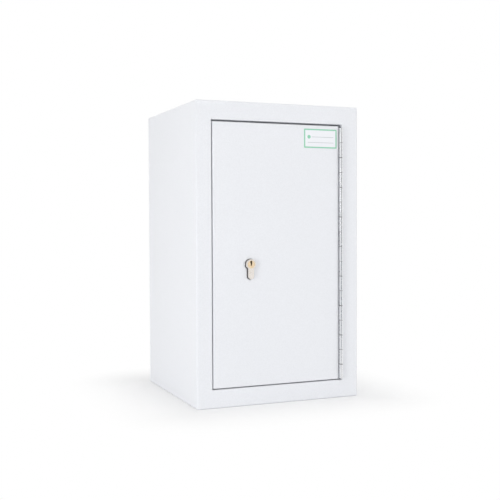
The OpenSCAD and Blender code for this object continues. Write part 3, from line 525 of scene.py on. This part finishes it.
def make_finishes(effects):
    """The finish of each material slot of the record, under the slot's name."""
    rolled, brushed = (900, 900, 30), (40, 700, 700)
    return {
        "body_paint": powder_coat("body_paint", BODY_WHITE, effects),
        "door_paint": powder_coat("door_paint", BODY_WHITE, effects, dust=0.08, rough=0.33),
        "shelf_paint": powder_coat("shelf_paint", SHELF_WHITE, effects, dust=0.30, rough=0.40),
        "hinge_steel": plated_metal("hinge_zinc", HINGE_ZINC, HINGE_STAIN, effects, rolled,
            rough=0.25, depth=0.3, stains=0.15, oiled_joint_shade=knuckle_oil_and_shade),
        "pin_steel": plated_metal("oiled_pin_painted_shade", PIN_STEEL, PIN_STAIN, effects, rolled,
            rough=0.34, depth=0.3, stains=0.6, wear=0.2),
        "zinc_plate": plated_metal("lock_zinc", ZINC, ZINC_STAIN, effects, brushed,
            rough=0.30, depth=0.6, stains=0.5),
        "bolt_steel": plated_metal("bolt_steel", STEEL, STEEL_STAIN, effects, (30, 800, 800),
            rough=0.28, depth=0.8, stains=0.3),
        "screw_steel": plated_metal("screw_steel", STEEL, STEEL_STAIN, effects, (500, 500, 500),
            rough=0.34, depth=0.5, stains=0.5),
        "cylinder_nickel": plated_metal("cylinder_nickel", NICKEL, NICKEL_STAIN, effects,
            (900, 60, 60), rough=0.22, depth=0.35, stains=0.18, scratches=0.25),
        "plug_brass": turned_brass("plug_brass", effects),
        "buffer_rubber": moulded_rubber("buffer_rubber", effects),
    }


def dress_nodes(finishes):
    """Gives every CAD node the finish of the slot that the record names for it."""
    for part in frame["record"]["subparts"]:
        for place in frame["nodes"][part["node"]].material_slots:
            place.material = finishes[part["material_slot"]]


# ---------------------------------------------------------------- surfaces

SHARP_FROM = math.radians(32.0)


def new_piece(name, points, faces, body, finish):
    """A mesh piece on its body and finish; it is smooth but for its sharp edges."""
    mesh = bpy.data.meshes.new(name)
    mesh.from_pydata(np.asarray(points, float).reshape(-1, 3).tolist(), [], faces)
    mesh.update()
    mesh.shade_smooth()
    mesh.set_sharp_from_angle(angle=SHARP_FROM)
    mesh.materials.append(finish)
    piece = bpy.data.objects.new(name, mesh)
    bpy.context.collection.objects.link(piece)
    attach(piece, body)
    return piece


def ring_faces(rings, around, first=0):
    """Quads between neighbouring rings of a tube, and one flat face over each of its two ends."""
    at = first + np.arange(rings * around).reshape(rings, around)
    after = np.roll(at, -1, axis=1)
    quads = np.stack([at[:-1], after[:-1], after[1:], at[1:]], axis=-1).reshape(-1, 4).tolist()
    return quads + [at[0, ::-1].tolist(), at[-1].tolist()]


def rounded_outline(half_w, half_h, radius, per_corner=9):
    """Each corner's centre plus the radius turned through that corner's quarter: (n, 2)."""
    turn = np.arange(4)[:, None] * math.pi / 2 + np.linspace(0, math.pi / 2, per_corner)
    across = (half_w - radius) * np.array([1, -1, -1, 1])[:, None] + radius * np.cos(turn)
    up = (half_h - radius) * np.array([1, 1, -1, -1])[:, None] + radius * np.sin(turn)
    return np.stack([across.ravel(), up.ravel()], axis=-1)


# ---------------------------------------------------------------- the label

# Across and up, on the door's face: the label's middle and half of its size.
LABEL_MIDDLE = (75.8 * MM, 444.05 * MM)
LABEL_HALF = (30.8 * MM, 16.05 * MM)
LABEL_THICK = 0.16 * MM
LABEL_CORNER = 1.2 * MM
LABEL_BORDER = 2.2 * MM
INK_SOFT = 0.15 * MM  # how far ink fades to each side of its edge
LABEL_RIM = ((0.0, 0.0), (0.6, 0.0), (0.9, 0.3), (1.0, 0.9))  # rise and inset, in thicknesses

# In shares of the label's half size: each rule's height and start, and where both rules end.
LABEL_RULES = ((0.16, -0.52), (-0.42, -0.78))
RULE_END = 0.80
RULE_HALF = 0.42 * MM
SPOT_PLACE = (-0.70, 0.16)
SPOT_RADIUS = 3.0 * MM
SPOT_SOFT = 0.2 * MM

LABEL_INK = ((0.25, 0.60, 0.41, 1.0), (0.30, 0.64, 0.46, 1.0))
LABEL_FILM = ((0.84, 0.86, 0.90, 1.0), (0.88, 0.89, 0.92, 1.0))
RULE_GREY = (0.42, 0.46, 0.48, 1.0)


def label_finish(effects):
    """Gloss white film with a green border, a green spot and two plain grey rules to write on."""
    material, tree, shader = new_finish("label_film", Metallic=0.0, IOR=1.5)
    half = LABEL_HALF
    place = tree.nodes.new("ShaderNodeTexCoord").outputs["Object"]
    centred = add(tree, "ShaderNodeMapping", {"Vector": place,
        "Location": (-LABEL_MIDDLE[0], 0.0, -LABEL_MIDDLE[1])}).outputs[0]
    parts = add(tree, "ShaderNodeSeparateXYZ", [centred]).outputs
    across = math_node(tree, "ABSOLUTE", parts["X"])
    up = math_node(tree, "ABSOLUTE", parts["Z"])
    inside = math_node(tree, "MINIMUM", math_node(tree, "SUBTRACT", half[0], across),
        math_node(tree, "SUBTRACT", half[1], up))
    border = ramp(tree, inside, LABEL_BORDER - INK_SOFT, LABEL_BORDER + INK_SOFT, 1.0, 0.0)
    lines = []
    for height, start in LABEL_RULES:
        off = math_node(tree, "ABSOLUTE",
            math_node(tree, "SUBTRACT", parts["Z"], height * half[1]))
        line = math_node(tree, "LESS_THAN", off, RULE_HALF)
        for operation, end in (("GREATER_THAN", start), ("LESS_THAN", RULE_END)):
            line = math_node(tree, "MULTIPLY", line,
                math_node(tree, operation, parts["X"], end * half[0]))
        lines.append(line)
    rules = math_node(tree, "MAXIMUM", *lines)
    spot_centre = (SPOT_PLACE[0] * half[0], 0.0, SPOT_PLACE[1] * half[1])
    from_spot = add(tree, "ShaderNodeVectorMath", [centred, spot_centre],
        operation="SUBTRACT").outputs[0]
    from_spot = add(tree, "ShaderNodeVectorMath", [from_spot, (1.0, 0.0, 1.0)],
        operation="MULTIPLY").outputs[0]
    spot_off = add(tree, "ShaderNodeVectorMath", [from_spot], operation="LENGTH").outputs["Value"]
    spot = ramp(tree, spot_off, SPOT_RADIUS, SPOT_RADIUS + SPOT_SOFT, 1.0, 0.0)
    green = math_node(tree, "MAXIMUM", border, spot)
    peel = use_group(tree, effects["peel"], Pebble=900.0, Ripple=120.0, Depth=0.05, Clouding=0.3)
    cloud = math_node(tree, "ADD", peel["Tone"], 0.5, clamp=True)
    ink = mix_colour(tree, cloud, *LABEL_INK)
    film = mix_colour(tree, cloud, *LABEL_FILM)
    toned = mix_colour(tree, math_node(tree, "MULTIPLY", rules, 0.75), film, RULE_GREY)
    toned = mix_colour(tree, green, toned, ink)
    gloss = math_node(tree, "ADD", math_node(tree, "MULTIPLY", green, 0.10), 0.28)
    edges = use_group(tree, effects["edges"], Radius=0.1 * MM, Sharpness=3.0)
    feed(tree, shader, Base_Color=toned, Roughness=gloss,
        Normal=bump(tree, peel["Height"], 0.04 * MM, edges["Normal"]))
    return material


def make_label(finish):
    """A film label on the door: its outline carried off the door's face, with a softened rim."""
    face_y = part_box("door_pan")[0][1]
    rings = []
    for proud, inset in LABEL_RIM:
        step = inset * LABEL_THICK
        outline = rounded_outline(LABEL_HALF[0] - step, LABEL_HALF[1] - step, LABEL_CORNER - step)
        rings.append(np.column_stack([LABEL_MIDDLE[0] + outline[:, 0],
            np.full(len(outline), face_y - proud * LABEL_THICK), LABEL_MIDDLE[1] + outline[:, 1]]))
    faces = ring_faces(len(rings), len(rings[0]))
    return new_piece("door_label", rings, faces, "door", finish)


# ---------------------------------------------------------------- welds and pins

SHEET = 1.5  # mm, the thickness of the door's, the stiffener's and the bracket's sheet

# Radius and height of a resistance weld's mark, from its foot over its raised rim to its pit.
WELD_MARK = np.array([(2.7, -0.05), (2.4, 0.03), (1.9, 0.07), (1.4, 0.04), (0.7, 0.01)]) * MM

# Rows of marks, in mm: each row's distance in from its sheet's edges, and where the row ends.
BACK_MARKS_IN = 10.5
BACK_UPRIGHT_END = 22.0  # from the carcass's foot and top
BACK_LEVEL_END = 35.5  # from the carcass's sides
STIFFENER_MARKS_IN = 5.0
STIFFENER_MARKS_Z = (62.0, 437.0)  # the heights of its first and last marks
BRACKET_MARKS_IN = (12.0, 5.0)  # across and up


def circle_round(way, around):
    """Unit steps off a way along X, Y or Z: the cosine of the turn across, and its sine up."""
    across = np.roll(np.abs(way), 1)
    up = np.cross(way, across)
    turn = np.linspace(0.0, 2 * math.pi, around, endpoint=False)
    return np.cos(turn)[:, None] * across + np.sin(turn)[:, None] * up


def turned_marks(profile, centres, outward, around=14):
    """The profile's radius and height turned round the outward direction, at every centre."""
    outward = np.asarray(outward, float)
    round_way = circle_round(outward, around)
    shape = profile[:, 0, None, None] * round_way + profile[:, 1, None, None] * outward
    points = np.asarray(centres, float)[:, None, None, :] + shape
    count = len(profile) * around
    faces = [face for k in range(len(centres))
        for face in ring_faces(len(profile), around, k * count)]
    return points.reshape(-1, 3), faces


def row(start, stop, count):
    """Evenly spaced centres in metres, from start to stop, which are in millimetres."""
    return np.linspace(start, stop, count) * MM


def box_in_mm(node):
    """A node's lowest and highest corners at rest, in millimetres."""
    return [np.asarray(corner, float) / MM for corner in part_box(node)]


def weld_marks(name, centres, outward, body, finish):
    """Resistance weld marks on a sheet's face: see turned_marks."""
    points, faces = turned_marks(WELD_MARK, centres, outward)
    return new_piece(name, points, faces, body, finish)


def make_weld_marks(finishes):
    """Rows of marks where the back, the door's stiffener and the lock's bracket are welded on."""
    rearward = (0, 1, 0)
    low, high = box_in_mm("carcass")
    rear = high[1]
    ends = (low[2] + BACK_UPRIGHT_END, high[2] - BACK_UPRIGHT_END)
    back = [row((x, rear, ends[0]), (x, rear, ends[1]), 9)
        for x in (low[0] + BACK_MARKS_IN, high[0] - BACK_MARKS_IN)]
    ends = (low[0] + BACK_LEVEL_END, high[0] - BACK_LEVEL_END)
    back += [row((ends[0], rear, z), (ends[1], rear, z), 5)
        for z in (low[2] + BACK_MARKS_IN, high[2] - BACK_MARKS_IN)]
    weld_marks("back_weld_marks", np.concatenate(back), rearward, "cabinet",
        finishes["body_paint"])
    low, high = box_in_mm("door_stiffener")
    face = low[1] + SHEET
    hat = [row((x, face, STIFFENER_MARKS_Z[0]), (x, face, STIFFENER_MARKS_Z[1]), 9)
        for x in (low[0] + STIFFENER_MARKS_IN, high[0] - STIFFENER_MARKS_IN)]
    weld_marks("stiffener_weld_marks", np.concatenate(hat), rearward, "door",
        finishes["door_paint"])
    low, high = box_in_mm("lock_bracket")
    face = low[1] + SHEET
    aside, in_up = BRACKET_MARKS_IN
    feet = [row((low[0] + aside, face, z), (high[0] - aside, face, z), 3)
        for z in (low[2] + in_up, high[2] - in_up)]
    weld_marks("bracket_weld_marks", np.concatenate(feet), rearward, "door",
        finishes["zinc_plate"])


# Radius and height of a pin's tip, from inside the plug to its rounded point.
PIN_TIP = np.array([(0.80, -0.6), (0.80, 0.7), (0.62, 1.05), (0.30, 1.25), (0.10, 1.30)]) * MM
PIN_DEPTHS = np.array([4.0, 8.0, 12.0, 16.0, 20.0]) * MM  # behind the plug's face
PIN_LIFTS = np.array([0.1, -0.3, 0.0, -0.4, -0.1]) * MM
PIN_SEAT = 2.3 * MM  # below the plug's centre, just under the keyway's floor


def make_keyway_pins(finish):
    """The tips of the pins that the key lifts, at unequal heights in the foot of the keyway."""
    centres = np.column_stack([np.full(len(PIN_DEPTHS), LOCK_AXIS_X), PLUG_LOW[1] + PIN_DEPTHS,
        LOCK_AXIS_Z - PIN_SEAT + PIN_LIFTS])
    points, faces = turned_marks(PIN_TIP, centres, (0, 0, 1), around=20)
    return new_piece("keyway_pins", points, faces, "plug", finish)


BEAD_RIPPLE = 1.1 * MM
CORNER_BEAD = 1.25 * MM  # radius
CORNER_BEAD_SHORT = 2.2 * MM  # how far it ends before the pan's rear edge
TACK_BEAD = 1.3 * MM  # radius
TACK_HALF = 6.0 * MM  # half the length of a tack along a rail
TACK_END = 30.0 * MM  # from the rail's end to the middle of its first tack
TACKS = 4  # along each edge of a rail


def weld_bead(start, end, radius, along=26, around=12):
    """A round rod carried from start to end: it swells in ripples and thins out at both ends.

    The radius is the given one times the square root of one less the sixth power of the share of
    the way from the middle to the end, which is kept above a fifth, and it grows by a tenth of the
    sine, taken without its sign, of half a turn to each ripple.
    """
    start, end = np.asarray(start, float), np.asarray(end, float)
    share = np.linspace(0.0, 1.0, along)
    length = np.linalg.norm(end - start)
    taper = np.sqrt(np.clip(1.0 - np.abs(2.0 * share - 1.0) ** 6, 0.04, 1.0))
    size = radius * taper * (1.0 + 0.10 * np.abs(np.sin(math.pi * share * length / BEAD_RIPPLE)))
    centre = start + share[:, None] * (end - start)
    return centre[:, None, :] + size[:, None, None] * circle_round((end - start) / length, around)


def weld_beads(name, runs, radius, body, finish):
    """One bead along each run, from its start to its end: see weld_bead."""
    beads = [weld_bead(start, end, radius) for start, end in runs]
    rings, around = beads[0].shape[:2]
    faces = [face for k in range(len(beads))
        for face in ring_faces(rings, around, k * rings * around)]
    points = np.concatenate([bead.reshape(-1, 3) for bead in beads])
    return new_piece(name, points, faces, body, finish)


def make_weld_beads(finishes):
    """Beads down the door pan's inside corners, and short tacks along the feet of the rails."""
    low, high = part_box("door_pan")
    inside = SHEET * MM
    ends = (low[1] + inside, high[1] - CORNER_BEAD_SHORT)
    corners = [((x, ends[0], z), (x, ends[1], z)) for x in (low[0] + inside, high[0] - inside)
        for z in (low[2] + inside, high[2] - inside)]
    weld_beads("door_corner_beads", corners, CORNER_BEAD, "door",
        finishes["door_paint"])
    for side, out in (("left", 0), ("right", 1)):
        tacks = []
        for rail in ("front", "rear"):
            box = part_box("shelf_rail_" + rail + "_" + side)
            wall = box[out][0]
            tacks += [((wall, foot, z - TACK_HALF), (wall, foot, z + TACK_HALF))
                for foot in (box[0][1], box[1][1])
                for z in np.linspace(box[0][2] + TACK_END, box[1][2] - TACK_END, TACKS)]
        weld_beads("rail_tacks_" + side, tacks, TACK_BEAD, "cabinet",
            finishes["body_paint"])


# ---------------------------------------------------------------- the scene

bpy.context.scene.view_settings.view_transform = "Standard"
make_camera()
make_world()
make_floor()
for lamp in LAMPS:
    soft_lamp(*lamp)
effects = make_effects()
finishes = make_finishes(effects)
dress_nodes(finishes)
make_label(label_finish(effects))
make_weld_marks(finishes)
make_weld_beads(finishes)
make_keyway_pins(finishes["plug_brass"])
